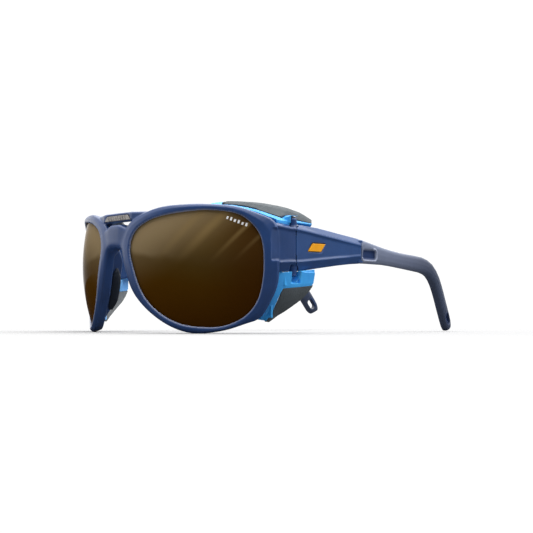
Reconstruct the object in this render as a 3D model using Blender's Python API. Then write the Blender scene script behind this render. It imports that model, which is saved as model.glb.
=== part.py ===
"""Glacier glasses: a wrap-around front with two tinted lenses, folding temples with soft
tips, nose pads on bendable wires, and side shields that clip on the hinge pegs.

Metres, +Z up. The front faces -Y and the wearer's left is at +X. Dimensions below are in
millimetres in a design frame whose origin is midway between the lens centres; DESIGN_ORIGIN
moves that point so that the object's own origin is at the middle of its base.
"""
import math

import bmesh
import bpy
import numpy as np
from mathutils import Vector

MM = 0.001
DESIGN_ORIGIN = Vector((0.0, -66.7, 24.6))
SIDES = (("left", 1), ("right", -1))
GAP = 0.3  # clearance between neighbouring pieces

# Lenses: two pieces of a sphere, wrapped round the face and tilted forward at the top.
LENS_CENTRE_X = 39.03
LENS_WRAP = math.radians(25.95)
LENS_TILT = math.radians(3.26)
LENS_RADIUS = 80.0
LENS_THICKNESS = 2.0
LENS_EDGE_IN_GROOVE = 0.75
RING_STEPS = 116

# Outlines on the lens sphere, (outward, up) from the lens centre.
APERTURE = (
    (28.8, 2.0), (27.8, 11.0), (24.2, 16.6), (18.5, 20.5), (9.5, 22.1), (0.0, 22.2),
    (-12.2, 21.0), (-20.4, 19.0), (-26.6, 15.3), (-29.2, 9.0), (-26.9, 0.0),
    (-22.6, -9.4), (-16.0, -16.0), (-8.0, -20.2), (0.0, -21.9), (10.5, -22.0),
    (19.1, -19.1), (24.6, -14.2), (27.6, -7.4),
)
RIM_OUTLINE = (
    (34.0, -2.6), (34.2, 6.0), (33.9, 13.0), (32.0, 17.6), (27.4, 20.0), (18.6, 23.3),
    (7.9, 24.7), (-3.0, 25.1), (-15.0, 24.4), (-24.9, 21.6), (-31.4, 17.8),
    (-34.8, 12.0), (-34.3, 7.7), (-31.4, -1.5), (-28.1, -8.6), (-22.4, -14.8),
    (-14.6, -20.3), (-7.0, -23.6), (1.0, -24.9), (11.8, -23.7), (20.5, -21.2),
    (26.4, -18.8), (31.0, -12.0), (33.3, -6.9),
)
RIM_FRONT = 1.5  # how far the rim stands proud of the lens
RIM_BACK = -3.5
REST_HEIGHT = -24.6  # flats under the rims, on the surface that the glasses stand on

# Bridge
PLATE_TOP, PLATE_BOTTOM = 22.6, 20.6
PLATE_HALF_TOP, PLATE_HALF_BOTTOM = 7.4, 9.4
PLATE_FRONT, PLATE_BACK = -8.1, -7.3
BAR_FRONT = -8.0

# Hinge: a vertical axis through two frame knuckles and the temple's knuckle between them.
HINGE = Vector((63.4, 30.9, 0.0))
KNUCKLE_RADIUS = 1.8
PEG_RADIUS = 1.6
PEG_TOP, PEG_BOTTOM = 19.5, -2.6
KNUCKLE_LOW, KNUCKLE_HIGH = 5.2, 12.8  # ends of the temple's knuckle
SCREW_RADIUS, SCREW_BORE = 0.7, 1.0
SCREW_HEAD_RADIUS, SCREW_HEAD_HEIGHT = 1.25, 0.5
RIDGE_RELIEF = 0.5
# End-piece stations: y, outer x, top, top ridge, bottom ridge, bottom, relief between the ridges
END_STATIONS = (
    (19.6, 64.7, 17.9, 16.3, 2.1, -1.4, 0.02),
    (20.8, 65.3, 17.8, 16.15, 2.2, -1.3, 0.02),
    (21.8, 65.6, 17.6, 16.0, 2.3, -1.2, RIDGE_RELIEF),
    (28.2, 66.1, 16.9, 15.2, 2.7, -0.8, RIDGE_RELIEF),
)
END_INNER = 61.3
# The end-piece's outer skin runs on over the temple's knuckle: y and outer x, and its inside
SKIN_STATIONS = ((28.25, 66.1), (30.7, 66.2))
SKIN_RIDGES = (15.2, 2.7)
SKIN_INNER = 65.3
# Plan of the panel let into the rim's corner and the end-piece, and its bottom and top at
# the front and at the rear
PANEL_PLAN = ((65.5, 18.4), (65.25, 21.8), (65.56, 28.2), (65.66, 31.5))
PANEL_HEIGHTS = ((3.0, 15.5), (3.5, 14.4))
PANEL_REACH = 72.0
# Necks that carry the fixed knuckles: x and y from and to, and the heights they start and end at
NECK_PLAN = ((62.1, 65.0), (27.2, 30.0))
NECK_TOP, NECK_BOTTOM = 15.7, 2.3
NECK_STEP = 0.07  # how far the knuckles stand proud of their necks
KNUCKLE_TOP, KNUCKLE_BOTTOM = 16.6, 0.4

# Temple stations: y, top edge, top ridge, bottom ridge, bottom edge, thickness
ARM_STATIONS = (
    (31.0, 16.8, 15.1, 2.7, -0.8, 3.9),
    (34.0, 17.1, 14.8, 2.9, -0.7, 3.8),
    (43.5, 16.5, 13.6, 3.9, 0.6, 3.6),
    (55.3, 15.0, 12.2, 5.1, 2.1, 3.5),
    (63.0, 14.1, 11.3, 5.8, 2.9, 3.4),
    (69.0, 13.4, 10.6, 6.4, 3.3, 3.4),
)
# Tip stations: y, z, width across the blade, thickness
TIP_STATIONS = (
    (69.3, 8.3, 10.0, 3.4),
    (78.0, 7.5, 8.4, 3.5),
    (87.0, 6.7, 7.0, 3.6),
    (98.0, 5.7, 6.6, 3.7),
    (108.5, 5.0, 6.9, 3.8),
    (116.8, 4.3, 7.0, 3.9),
    (123.2, 2.4, 6.9, 4.0),
    (128.1, -1.4, 6.8, 4.1),
    (131.8, -6.5, 6.7, 4.1),
    (135.0, -12.1, 6.7, 4.1),
    (138.1, -17.4, 6.8, 4.1),
    (140.4, -21.5, 6.4, 3.9),
    (141.4, -23.45, 4.4, 3.3),
)
CORE_RADIUS = 0.8
CORE_DEPTH = 0.25  # how far the core lies inward of the blade's middle
CORE_START, CORE_END = 58.0, 134.6
CORD_HOLE = (139.0, -18.9)
CORD_HOLE_LENGTH, CORD_HOLE_WIDTH = 5.2, 2.8
# How far the end of each soft tip is bent outward and up from the stations, and over what y
TIP_BEND = {1: (0.0, 0.0), -1: (4.8, 8.0)}
BEND_FROM, BEND_TO = 100.0, 141.0
# Badge: y at its front and rear, z at its bottom and top, and how far its ends slant
BADGE_Y, BADGE_Z, BADGE_SLANT = (37.2, 47.0), (7.1, 10.2), 2.6
# Shallow pocket on the outside of the tip's front end: y and z from and to, and its depth
POCKET_Y, POCKET_Z, POCKET_DEPTH = (70.6, 79.4), (4.9, 9.2), 0.5

# Nose flange stations: z, medial x and y at the front, medial x and y at the rear
FLANGE_STATIONS = (
    (10.5, 4.2, -8.2, 5.4, -3.2),
    (6.0, 6.8, -8.4, 9.7, 1.4),
    (2.0, 8.65, -8.3, 11.8, 2.6),
    (-3.0, 10.4, -8.0, 14.0, 3.0),
    (-8.0, 12.6, -7.2, 16.2, 3.0),
    (-12.4, 15.2, -5.8, 18.6, 2.8),
    (-16.2, 18.7, -4.3, 21.1, 2.2),
    (-18.8, 22.2, -2.2, 23.2, 1.4),
)
FLANGE_THICKNESS = 2.2
# Nose pad stations along its length: z, x, y, half width, thickness
PAD_STATIONS = (
    (1.8, 9.3, -2.0, 0.5, 0.9),
    (-0.8, 9.95, -1.7, 2.4, 1.8),
    (-4.5, 11.35, -1.1, 2.8, 2.2),
    (-8.5, 13.35, -0.5, 2.8, 2.2),
    (-12.0, 15.6, 0.3, 2.4, 2.0),
    (-15.2, 18.35, 0.6, 1.2, 1.2),
)
PAD_TURN = 18.0  # degrees that each pad faces forward of straight across
PAD_WIRE_RADIUS = 0.5
PAD_WIRE_Z = -7.0

# Side shields
SHIELD_THICKNESS = 1.4
LOWER_BAND = 0.30  # share of the lower flap's height that the stiff band takes
LOWER_STRIP = 2.3  # width of the stiff strip down the lower flap's front edge
PANEL_GAP, PANEL_GAP_SHARE = 0.6, 0.024  # between the stiff parts and the soft lower panel
UPPER_STRIP = 0.15
UPPER_TAB = 0.11
# Lower flap rows: front x, y, z, then rear x, y, z
LOWER_ROWS = (
    (63.4, 24.0, -1.0, 66.2, 40.1, -1.2),
    (62.5, 23.8, -6.6, 65.7, 39.7, -5.2),
    (60.4, 22.6, -12.2, 64.2, 36.3, -10.6),
    (57.8, 21.7, -16.6, 61.8, 29.9, -15.4),
    (55.2, 20.3, -19.4, 59.2, 23.4, -19.3),
)
# Upper flap columns: front x, y, z, then crest x, y, z, then rear x, y, z
UPPER_COLUMNS = (
    (41.4, 7.9, 24.9, 39.6, 9.6, 26.1, 38.4, 12.5, 25.9),
    (46.2, 10.8, 24.6, 44.8, 14.0, 26.8, 43.2, 18.0, 26.8),
    (51.0, 14.2, 23.9, 50.3, 19.0, 26.3, 48.2, 23.5, 26.6),
    (56.2, 18.2, 22.0, 55.3, 24.4, 24.9, 53.0, 28.5, 25.8),
    (63.4, 24.3, 18.5, 59.9, 30.6, 22.9, 57.4, 33.6, 24.2),
    (63.8, 33.0, 18.0, 61.3, 36.5, 21.2, 59.4, 38.8, 22.4),
    (63.4, 41.0, 17.8, 62.0, 42.0, 18.9, 60.9, 43.0, 19.8),
)
# Inside web that joins the upper strip and the lower flap, and the bosses for the hinge pegs
SHIELD_WEB = ((59.3, 22.3, -4.0), (60.75, 27.8, 19.3))
UPPER_BOSS_PLAN = (
    (59.65, 26.1), (60.9, 26.15), (62.9, 27.4), (64.3, 28.35), (64.6, 28.8), (64.6, 32.8), (59.65, 32.75),
)
UPPER_BOSS_HEIGHT = (17.6, 20.6)
LOWER_BOSS = ((59.7, 26.2, -6.4), (64.2, 33.3, -1.05))
# Heights that each boss's slot for its peg spans
CLIP_SLOTS = (("lower", -5.4, 0.0), ("upper", 16.0, PEG_TOP + 0.95))
# Where the soft upper panel starts on its way back, over the boss for the hinge peg
BOSS_CLEARANCE = (
    (0.6, 0.23), (0.63, 0.34), (0.667, 0.48), (0.75, 0.53), (0.8, 0.28), (0.82, 0.21),
)

COLOURS = {
    "navy": ((0.035, 0.055, 0.13), 0.5, 0.0),
    "tip_rubber": ((0.055, 0.062, 0.10), 0.7, 0.0),
    "lens_brown": ((0.16, 0.10, 0.04), 0.1, 0.3),
    "plate_metal": ((0.55, 0.55, 0.52), 0.35, 1.0),
    "pad_rubber": ((0.02, 0.02, 0.022), 0.8, 0.0),
    "steel": ((0.6, 0.6, 0.62), 0.3, 1.0),
    "badge_orange": ((0.95, 0.42, 0.02), 0.4, 0.0),
    "shield_blue": ((0.06, 0.28, 0.78), 0.45, 0.0),
    "shield_grey": ((0.08, 0.085, 0.09), 0.85, 0.0),
}


# ---------------------------------------------------------------- scene helpers

def clear_scene():
    for item in list(bpy.data.objects):
        bpy.data.objects.remove(item, do_unlink=True)


def new_collection(name):
    made = bpy.data.collections.new(name)
    bpy.context.scene.collection.children.link(made)
    return made


def make_material(name):
    colour, roughness, metallic = COLOURS[name]
    made = bpy.data.materials.new(name)
    made.use_nodes = True
    shader = made.node_tree.nodes["Principled BSDF"]
    shader.inputs["Base Color"].default_value = (*colour, 1.0)
    shader.inputs["Roughness"].default_value = roughness
    shader.inputs["Metallic"].default_value = metallic
    return made


clear_scene()
PARTS = new_collection("glacier_glasses")
CUTTERS = new_collection("cutters")
MATERIALS = {name: make_material(name) for name in COLOURS}


def place_mesh(name, points, faces, pivot=(0.0, 0.0, 0.0), material=None):
    """An object whose design-frame points are in mm, with its origin at the pivot."""
    pivot = Vector(pivot)
    mesh = bpy.data.meshes.new(name)
    shape = bmesh.new()
    corners = [shape.verts.new((Vector(p) - pivot) * MM) for p in points]
    for face in faces:
        shape.faces.new([corners[i] for i in face])
    bmesh.ops.recalc_face_normals(shape, faces=shape.faces)
    shape.to_mesh(mesh)
    shape.free()
    made = bpy.data.objects.new(name, mesh)
    made.location = (pivot + DESIGN_ORIGIN) * MM
    if material is None:
        CUTTERS.objects.link(made)
        made.hide_render = True
        made.display_type = "WIRE"
    else:
        PARTS.objects.link(made)
        mesh.materials.append(MATERIALS[material])
        mesh.shade_smooth()
        mesh.set_sharp_from_angle(angle=math.radians(35))
    return made


def boolean(target, operand, operation):
    step = target.modifiers.new(operation.lower(), "BOOLEAN")
    step.object = operand
    step.operation = operation
    step.solver = "EXACT"


def loft(rings, closed=False):
    """Points and faces of a body through equal loops, with flat ends or joined in a ring."""
    count = len(rings[0])
    points = [p for ring in rings for p in ring]
    faces = []
    last = len(rings) if closed else len(rings) - 1
    for i in range(last):
        a, b = i * count, ((i + 1) % len(rings)) * count
        for j in range(count):
            k = (j + 1) % count
            faces.append((a + j, a + k, b + k, b + j))
    if not closed:
        faces.append(tuple(range(count)))
        faces.append(tuple(range(len(points) - count, len(points))))
    return points, faces


def sheet(grid, thickness, inward):
    """A solid of even thickness behind a grid of points, on the side inward points to."""
    outer = np.array(grid, float)
    along = np.gradient(outer, axis=1)
    across = np.gradient(outer, axis=0)
    normal = np.cross(along, across)
    normal /= np.linalg.norm(normal, axis=2, keepdims=True)
    if (normal * np.array(inward)).sum() < 0:
        normal = -normal
    inner = outer + normal * thickness
    rows, columns = outer.shape[:2]
    points = [tuple(p) for layer in (outer, inner) for p in layer.reshape(-1, 3)]
    step = rows * columns
    faces = []
    for i in range(rows - 1):
        for j in range(columns - 1):
            a = i * columns + j
            quad = (a, a + 1, a + columns + 1, a + columns)
            faces.append(quad)
            faces.append(tuple(k + step for k in reversed(quad)))
    edge = [j for j in range(columns)]
    edge += [i * columns + columns - 1 for i in range(1, rows)]
    edge += [(rows - 1) * columns + j for j in range(columns - 2, -1, -1)]
    edge += [i * columns for i in range(rows - 2, 0, -1)]
    for a, b in zip(edge, edge[1:] + edge[:1]):
        faces.append((a, b, b + step, a + step))
    return points, faces


def taken(shape):
    """The points and faces of a bmesh, which is then freed."""
    shape.verts.index_update()
    points = [corner.co.copy() for corner in shape.verts]
    faces = [[corner.index for corner in face.verts] for face in shape.faces]
    shape.free()
    return points, faces


def box(low, high):
    low, high = Vector(low), Vector(high)
    shape = bmesh.new()
    bmesh.ops.create_cube(shape, size=1.0)
    bmesh.ops.scale(shape, vec=high - low, verts=shape.verts)
    bmesh.ops.translate(shape, vec=(low + high) / 2, verts=shape.verts)
    return taken(shape)


def side_box(side, low, high):
    """A box given on the left side, mirrored for the right."""
    xs = sorted((side * low[0], side * high[0]))
    return box((xs[0], low[1], low[2]), (xs[1], high[1], high[2]))


def rod(start, end, radius, steps=20):
    """A cylinder between two points."""
    start, end = Vector(start), Vector(end)
    along = end - start
    shape = bmesh.new()
    bmesh.ops.create_cone(shape, cap_ends=True, segments=steps, radius1=radius, radius2=radius,
                          depth=along.length)
    turn = along.to_track_quat("Z", "Y").to_matrix()
    bmesh.ops.rotate(shape, cent=(0, 0, 0), matrix=turn, verts=shape.verts)
    bmesh.ops.translate(shape, vec=(start + end) / 2, verts=shape.verts)
    return taken(shape)


def cylinder(centre, radius, low, high, steps=20):
    """An upright cylinder."""
    return rod((centre.x, centre.y, low), (centre.x, centre.y, high), radius, steps)


def prism(outline, start, end):
    """A flat outline of points, moved along from start to end."""
    start, end = Vector(start), Vector(end)
    return loft([[Vector(p) + start for p in outline], [Vector(p) + end for p in outline]])


def smooth(stations, count):
    """Rows of numbers resampled evenly on a Catmull-Rom curve through the stations."""
    rows = np.array(stations, float)
    spans = len(rows) - 1
    ends = np.vstack([2 * rows[0] - rows[1], rows, 2 * rows[-1] - rows[-2]])
    out = []
    for i in range(count):
        at = spans * i / (count - 1)
        k = min(int(at), spans - 1)
        t = at - k
        a, b, c, d = ends[k:k + 4]
        out.append(0.5 * (2 * b + (c - a) * t + (2 * a - 5 * b + 4 * c - d) * t * t
                          + (3 * b - a - 3 * c + d) * t ** 3))
    return out


# ---------------------------------------------------------------- lens geometry

def lens_axes(side):
    sw, cw = math.sin(LENS_WRAP), math.cos(LENS_WRAP)
    st, ct = math.sin(LENS_TILT), math.cos(LENS_TILT)
    across = Vector((side * cw, sw, 0.0))
    up = Vector((side * sw * st, -cw * st, ct))
    forward = Vector((side * sw * ct, -cw * ct, -st))
    return across, up, forward


def lens_point(side, u, v, n=0.0):
    """The point u outward, v up and n in front of the lens's front surface."""
    across, up, forward = lens_axes(side)
    centre = Vector((side * LENS_CENTRE_X, 0.0, 0.0))
    drop = (u * u + v * v) / (2 * LENS_RADIUS)
    normal = (forward + across * (u / LENS_RADIUS) + up * (v / LENS_RADIUS)).normalized()
    return centre + across * u + up * v - forward * drop + normal * n


def radii(outline, angles):
    """How far a closed smooth outline reaches from the lens centre at each angle."""
    rows = np.array(outline, float)
    looped = np.vstack([rows[-1:], rows, rows[:2]])
    dense = []
    for i in range(len(rows)):
        a, b, c, d = looped[i:i + 4]
        for t in np.linspace(0, 1, 12, endpoint=False):
            dense.append(0.5 * (2 * b + (c - a) * t + (2 * a - 5 * b + 4 * c - d) * t * t
                                + (3 * b - a - 3 * c + d) * t ** 3))
    dense = np.array(dense)
    turn = np.arctan2(dense[:, 1], dense[:, 0])
    order = np.argsort(turn)
    reach = np.hypot(dense[:, 0], dense[:, 1])
    return np.interp(angles, turn[order], reach[order], period=2 * math.pi)


RING_ANGLES = [2 * math.pi * i / RING_STEPS for i in range(RING_STEPS)]
INNER_REACH = radii(APERTURE, RING_ANGLES)
OUTER_REACH = radii(RIM_OUTLINE, RING_ANGLES)


def rim(side):
    """A closed ring with a rounded front and a groove for the lens."""
    rings = []
    for angle, inner, outer in zip(RING_ANGLES, INNER_REACH, OUTER_REACH):
        middle = (inner + outer) / 2
        groove = inner + LENS_EDGE_IN_GROOVE + GAP
        back_lip = -LENS_THICKNESS - GAP
        section = (
            (inner, GAP), (inner, 0.8), (inner + 0.5, RIM_FRONT - 0.2), (middle, RIM_FRONT),
            (outer - 0.5, RIM_FRONT - 0.4), (outer, 0.4), (outer, RIM_BACK + 0.7),
            (outer - 0.6, RIM_BACK), (inner + 0.8, RIM_BACK), (inner + 0.25, RIM_BACK + 0.5),
            (inner + 0.25, back_lip), (groove, back_lip), (groove, GAP),
        )
        ring = [lens_point(side, r * math.cos(angle), r * math.sin(angle), n) for r, n in section]
        rings.append(ring)
    return loft(rings, closed=True)


def lens_body(side, grow=0.0):
    """A shell of even thickness cut to the rim's groove, or the room it needs."""
    shares = (0.5, 0.85, 1.0)
    layers = (grow, -LENS_THICKNESS - grow)
    points = [lens_point(side, 0, 0, n) for n in layers]
    for n in layers:
        for share in shares:
            for angle, inner in zip(RING_ANGLES, INNER_REACH):
                reach = (inner + LENS_EDGE_IN_GROOVE + grow) * share
                points.append(lens_point(side, reach * math.cos(angle), reach * math.sin(angle), n))
    faces = []
    layer = len(shares) * RING_STEPS
    for face_side in (0, 1):
        first = 2 + face_side * layer
        for j in range(RING_STEPS):
            k = (j + 1) % RING_STEPS
            faces.append((face_side, first + j, first + k))
            for ring in range(len(shares) - 1):
                a, b = first + ring * RING_STEPS, first + (ring + 1) * RING_STEPS
                faces.append((a + j, b + j, b + k, a + k))
    front = 2 + (len(shares) - 1) * RING_STEPS
    for j in range(RING_STEPS):
        k = (j + 1) % RING_STEPS
        faces.append((front + j, front + k, front + k + layer, front + j + layer))
    return points, faces


# ---------------------------------------------------------------- front

def rounded_section(x, front, back, low, high, corner):
    """A rectangle in the YZ plane with cut corners."""
    c = corner
    return [
        (x, front + c, low), (x, back - c, low), (x, back, low + c), (x, back, high - c),
        (x, back - c, high), (x, front + c, high), (x, front, high - c), (x, front, low + c),
    ]


def bridge_web():
    half = (
        (0.0, -10.0, -3.6, 9.3, 19.0), (3.5, -9.9, -3.4, 9.0, 18.9), (8.0, -9.0, -3.0, 6.5, 17.2),
    )
    stations = [(-x, *rest) for x, *rest in reversed(half[1:])] + list(half)
    return loft([rounded_section(*row, 1.0) for row in stations])


def brow_bar():
    half = (
        (0.0, BAR_FRONT, -3.0, 20.1, 23.9), (6.0, BAR_FRONT, -2.9, 20.1, 23.85),
        (10.2, BAR_FRONT + 0.2, -2.4, 20.0, 23.7), (15.0, -6.3, -1.2, 19.4, 23.5),
        (20.0, -4.6, 0.2, 20.2, 23.4),
    )
    stations = [(-x, *rest) for x, *rest in reversed(half[1:])] + list(half)
    return loft([rounded_section(*row, 0.6) for row in stations])


def nose_flange(side):
    rings = []
    for z, x0, y0, x1, y1 in smooth(FLANGE_STATIONS, 12):
        t = FLANGE_THICKNESS
        ring = [(x0, y0), (x1, y1 - 0.7), (x1 + 0.7, y1), (x1 + t, y1 - 0.3), (x0 + t, y0)]
        rings.append([(side * x, y, z) for x, y in ring])
    return loft(rings)


def outer_profile(side, y, outer, top, top_ridge, bottom_ridge, bottom, inner, relief):
    """The end-piece and temple section: a panel let in between two ridges."""
    points = (
        (outer - 1.7, top), (outer - 0.25, top_ridge + 0.6), (outer, top_ridge),
        (outer - relief, top_ridge - 0.8), (outer - relief, bottom_ridge + 0.8),
        (outer, bottom_ridge), (outer - 0.25, bottom_ridge - 0.5), (outer - 1.5, bottom),
        (inner + 0.5, bottom + 0.1), (inner, bottom + 0.6), (inner, top - 0.6),
        (inner + 0.5, top - 0.1),
    )
    return [(side * x, y, z) for x, z in points]


def end_piece(side):
    rings = [
        outer_profile(side, y, outer, top, ridge_high, ridge_low, bottom, END_INNER, relief)
        for y, outer, top, ridge_high, ridge_low, bottom, relief in END_STATIONS
    ]
    ridge_high, ridge_low = SKIN_RIDGES
    for y, outer in SKIN_STATIONS:
        points = (
            (outer - 0.7, ridge_high + 0.9), (outer - 0.25, ridge_high + 0.6),
            (outer, ridge_high), (outer - RIDGE_RELIEF, ridge_high - 0.8),
            (outer - RIDGE_RELIEF, ridge_low + 0.8), (outer, ridge_low),
            (outer - 0.25, ridge_low - 0.5), (outer - 0.7, ridge_low - 1.0),
            (SKIN_INNER, ridge_low - 0.8), (SKIN_INNER - 0.01, ridge_low),
            (SKIN_INNER - 0.01, ridge_high), (SKIN_INNER, ridge_high + 0.7),
        )
        rings.append([(side * x, y, z) for x, z in points])
    return loft(rings)


def panel_recess(side):
    front, rear = PANEL_PLAN[0][1], PANEL_PLAN[-1][1]
    plan = PANEL_PLAN + ((PANEL_REACH, rear), (PANEL_REACH, front))
    rings = []
    for z_front, z_rear in zip(*PANEL_HEIGHTS):
        slope = (z_rear - z_front) / (rear - front)
        rings.append([(side * x, y, z_front + slope * (y - front)) for x, y in plan])
    return loft(rings)


def end_piece_room(side):
    """The end-piece's height and a gap above and below it, open outward."""
    rings = []
    for x in (END_INNER - GAP, 70.0):
        upper = [(side * x, row[0], row[2] + GAP) for row in END_STATIONS]
        lower = [(side * x, row[0], row[5] - GAP) for row in reversed(END_STATIONS)]
        rings.append(upper + lower)
    return loft(rings)


def hinge_centre(side):
    return Vector((side * HINGE.x, HINGE.y, 0.0))


def frame_front():
    body = place_mesh("frame_front", *rim(1), material="navy")

    def join(name, shape):
        boolean(body, place_mesh(name, *shape), "UNION")

    def cut(name, shape):
        boolean(body, place_mesh(name, *shape), "DIFFERENCE")

    join("rim_shape_right", rim(-1))
    join("bridge_web_shape", bridge_web())
    join("brow_bar_shape", brow_bar())
    neck_top, neck_bottom = KNUCKLE_HIGH + 0.15, KNUCKLE_LOW - 0.15
    for label, side in SIDES:
        centre = hinge_centre(side)
        join("nose_flange_shape_" + label, nose_flange(side))
        join("end_piece_shape_" + label, end_piece(side))
        necks = (
            ("upper_neck_", neck_top + NECK_STEP, NECK_TOP),
            ("lower_neck_", NECK_BOTTOM, neck_bottom - NECK_STEP),
        )
        (x0, x1), (y0, y1) = NECK_PLAN
        for name, low, high in necks:
            join(name + label, side_box(side, (x0, y0, low), (x1, y1, high)))
        join("upper_knuckle_" + label, cylinder(centre, KNUCKLE_RADIUS, neck_top, KNUCKLE_TOP))
        join("lower_knuckle_" + label, cylinder(centre, KNUCKLE_RADIUS, KNUCKLE_BOTTOM, neck_bottom))
        join("upper_peg_" + label, cylinder(centre, PEG_RADIUS, 15.0, PEG_TOP))
        join("lower_peg_" + label, cylinder(centre, PEG_RADIUS, PEG_BOTTOM, 2.0))
        cut("screw_bore_" + label, cylinder(centre, SCREW_BORE, -6.0, 24.0, 16))
        cut("pad_wire_bore_" + label, pad_wire(side, PAD_WIRE_RADIUS + GAP, GAP))
        cut("lens_room_" + label, lens_body(side, GAP * 0.9))
        cut("panel_recess_" + label, panel_recess(side))
    cut("plate_recess", bridge_plate_shape(GAP))
    cut("rest_flats", box((-60.0, -30.0, REST_HEIGHT - 5.0), (60.0, 20.0, REST_HEIGHT)))
    return body


def bridge_plate_shape(grow=0.0):
    low, high = PLATE_BOTTOM - grow, PLATE_TOP + grow
    half_low, half_high = PLATE_HALF_BOTTOM + grow, PLATE_HALF_TOP + grow
    outline = [(-half_low, 0, low), (half_low, 0, low), (half_high, 0, high), (-half_high, 0, high)]
    front = PLATE_FRONT - 10 * grow
    return prism(outline, (0, front, 0), (0, PLATE_BACK + grow, 0))


# ---------------------------------------------------------------- nose pads

def pad_centre(side):
    z, x, y = [row for row in smooth([s[:3] for s in PAD_STATIONS], 41) if row[0] <= PAD_WIRE_Z][0]
    return Vector((side * x, y, z))


def pad_wire(side, radius, grow=0.0):
    """A short wire across from the flange into the back of the pad."""
    centre = pad_centre(side)
    start = centre - Vector((side * (0.2 + grow), 0.0, 0.0))
    end = centre + Vector((side * (3.6 + grow), 0.0, 0.0))
    return rod(start, end, radius, 12)


def nose_pad(side):
    """A soft oval pad, pointed at the top and turned to lie along the side of the nose."""
    turn = math.radians(PAD_TURN)
    rings = []
    for z, x, y, half, thick in smooth(PAD_STATIONS, 9):
        ring = []
        for i in range(12):
            t = 2 * math.pi * i / 12
            out, along = thick / 2 * math.sin(t), half * math.cos(t)
            px = x + out * math.cos(turn) + along * math.sin(turn)
            py = y - out * math.sin(turn) + along * math.cos(turn)
            ring.append((side * px, py, z))
        rings.append(ring)
    return loft(rings)


# ---------------------------------------------------------------- temples

def temple_outer(y):
    """How far out the temple's outer surface lies; it curves in behind the ear."""
    d = y - 29.9
    return 66.27 - 0.06 * d - 0.00122 * d * d


def temple_normal(y):
    """The horizontal direction square to the temple's outer surface."""
    turn = math.atan(0.06 + 0.00244 * (y - 29.9))
    return Vector((math.cos(turn), math.sin(turn), 0.0))


def temple_arm_shape(side):
    rings = []
    for y, top, top_ridge, bottom_ridge, bottom, thick in ARM_STATIONS:
        outer = temple_outer(y)
        inner = outer - thick
        relief = RIDGE_RELIEF if y < 60 else RIDGE_RELIEF * 0.5
        ridges = (top, top_ridge, bottom_ridge, bottom)
        rings.append(outer_profile(side, y, outer, *ridges, inner, relief))
    return loft(rings)


def tip_centre(side, y, z):
    """The middle of the tip's blade, given on the left side."""
    share = min(max((y - BEND_FROM) / (BEND_TO - BEND_FROM), 0.0), 1.0) ** 1.5
    out, up = TIP_BEND[side]
    return Vector((temple_outer(y) - 1.7 + out * share, y, z + up * share))


def tip_shape(side):
    rows = smooth(TIP_STATIONS, 21)
    centres = [tip_centre(side, row[0], row[1]) for row in rows]
    rings = []
    for i, (y, z, width, thick) in enumerate(rows):
        along = centres[min(i + 1, len(rows) - 1)] - centres[max(i - 1, 0)]
        face = temple_normal(y)
        if i == 0:
            along = Vector((0.0, 1.0, 0.0))
            face = Vector((1.0, 0.0, 0.0))
        across = along.cross(face).normalized()
        ring = []
        for j in range(14):
            t = 2 * math.pi * j / 14
            c, s = math.cos(t), math.sin(t)
            bulge = math.copysign(abs(c) ** 0.75, c) * thick / 2
            spread = math.copysign(abs(s) ** 0.75, s) * width / 2
            p = centres[i] + face * bulge + across * spread
            ring.append((side * p.x, p.y, p.z))
        rings.append(ring)
    return loft(rings)


def core_shape(side, radius, extra=0.0):
    """The bendable wire down the middle of the arm's end and the tip."""
    rows = [row for row in smooth(TIP_STATIONS, 60) if row[0] < CORE_END][::3]
    path = [Vector((temple_outer(CORE_START) - 1.9, CORE_START - extra, 8.6))]
    path += [tip_centre(side, row[0], row[1]) - temple_normal(row[0]) * CORE_DEPTH for row in rows]
    if extra:
        path.append(path[-1] + (path[-1] - path[-2]).normalized() * extra)
    rings = []
    for i, p in enumerate(path):
        along = (path[min(i + 1, len(path) - 1)] - path[max(i - 1, 0)]).normalized()
        up = Vector((1.0, 0.0, 0.0)).cross(along).normalized()
        out = along.cross(up).normalized()
        ring = []
        for j in range(10):
            t = 2 * math.pi * j / 10
            q = p + out * (radius * math.cos(t)) + up * (radius * math.sin(t))
            ring.append((side * q.x, q.y, q.z))
        rings.append(ring)
    return loft(rings)


def tip_pocket(side):
    """A slot that opens outward, square at the arm and rounded at the rear."""
    (y0, y1), (z0, z1) = POCKET_Y, POCKET_Z
    r = (z1 - z0) * 0.42
    outline = [(y0, z0), (y0, z1)]
    for centre_z, start in ((z1 - r, 90), (z0 + r, 0)):
        for step in range(5):
            t = math.radians(start - 22.5 * step)
            outline.append((y1 - r + r * math.cos(t), centre_z + r * math.sin(t)))
    rings = []
    for lift in (3.0, -POCKET_DEPTH):
        rings.append([(side * (temple_outer(y) + lift), y, z) for y, z in outline])
    return loft(rings)


def badge_shape(side, grow=0.0, depth=0.0):
    """A plain slanted bar set in the temple's panel."""
    (front, rear), (low, high), slant = BADGE_Y, BADGE_Z, BADGE_SLANT
    outline = [
        (front - grow, low - grow), (rear - slant + grow, low - grow),
        (rear + grow, high + grow), (front + slant - grow, high + grow),
    ]
    rings = []
    for lift in (0.2 + grow, -0.45 - depth):
        ring = []
        for y, z in outline:
            x = temple_outer(y) - RIDGE_RELIEF + lift
            ring.append((side * x, y, z))
        rings.append(ring)
    return loft(rings)


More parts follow.
